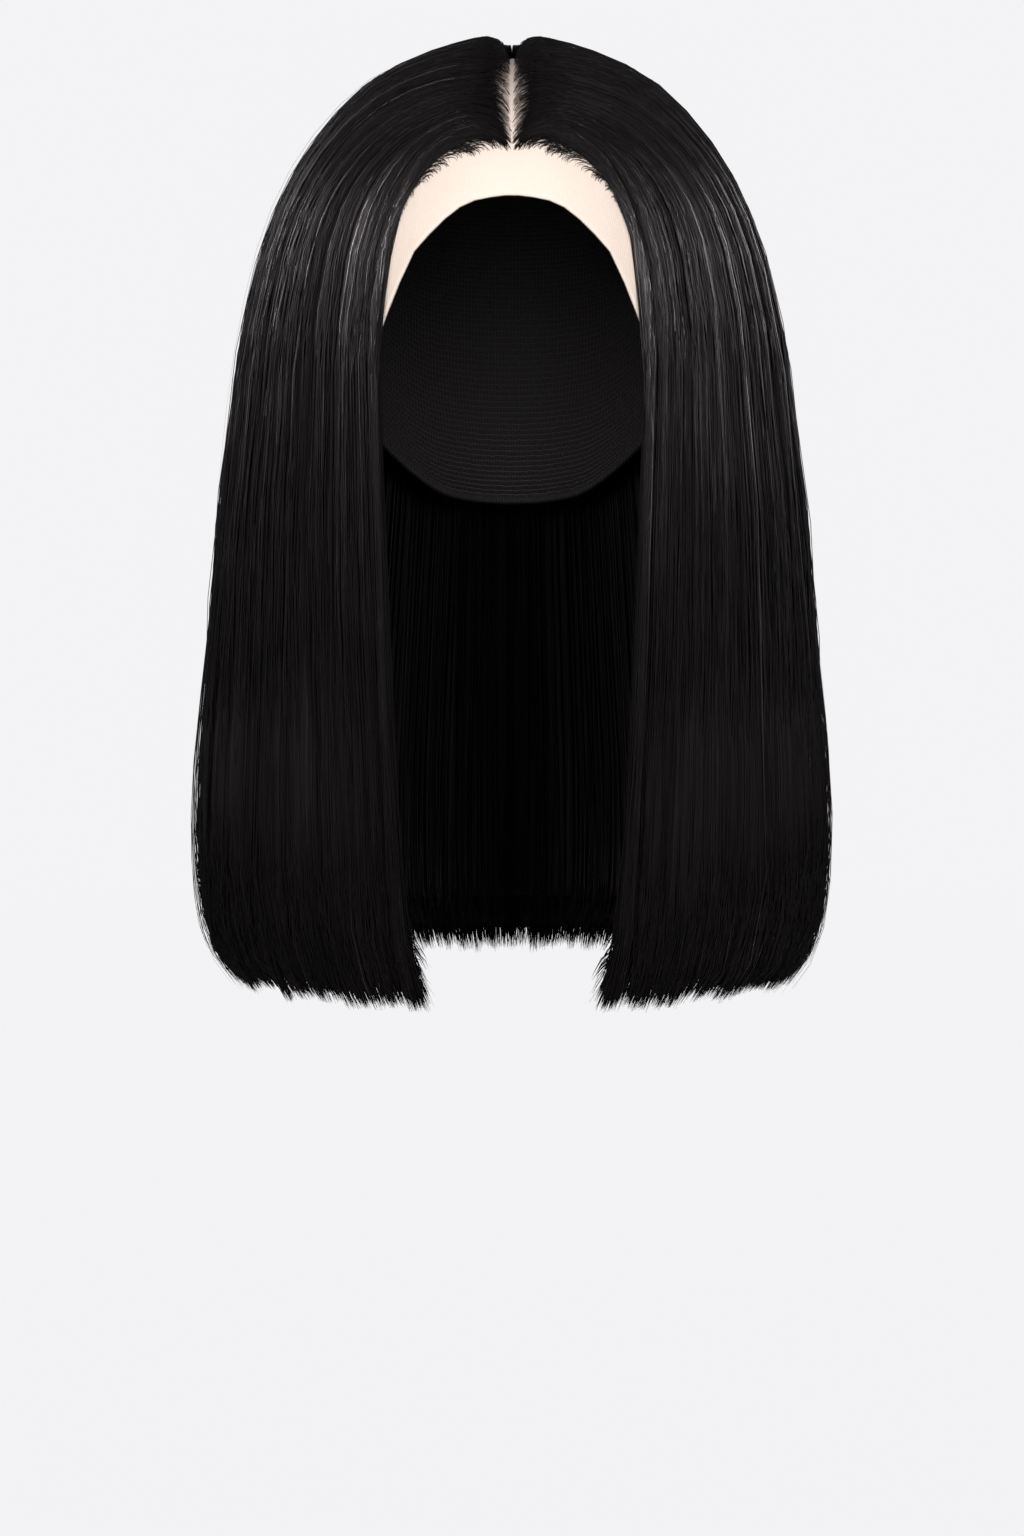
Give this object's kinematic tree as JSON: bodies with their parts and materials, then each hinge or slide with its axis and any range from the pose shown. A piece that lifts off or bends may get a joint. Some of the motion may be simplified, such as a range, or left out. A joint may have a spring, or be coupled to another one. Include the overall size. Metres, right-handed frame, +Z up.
{
  "type": "bob wig",
  "caption": "Long straight bob wig with a centre parting, a sheer lace front, a net crown cap and a blunt hem, hollow for a head.",
  "frame": {"origin": "inside of the cap at the crown, where the top of a head touches it", "axes": "+Z up, -Y towards the wig's front, +X towards the right of someone who looks at the front"},
  "size_m": [0.249, 0.2103, 0.364],
  "materials": {
    "lace": "sheer pale peach lace",
    "net": "black stretch net with sewn rows",
    "hair": "off-black straight hair with a soft sheen"
  },
  "bodies": {
    "root": {"lace_front": "lace", "crown_cap": "net", "front_curtain_left": "hair", "front_curtain_right": "hair", "side_hair_left": "hair", "side_hair_right": "hair", "back_hair_left": "hair", "back_hair_right": "hair", "nape_hair": "hair"}
  },
  "joints": []
}
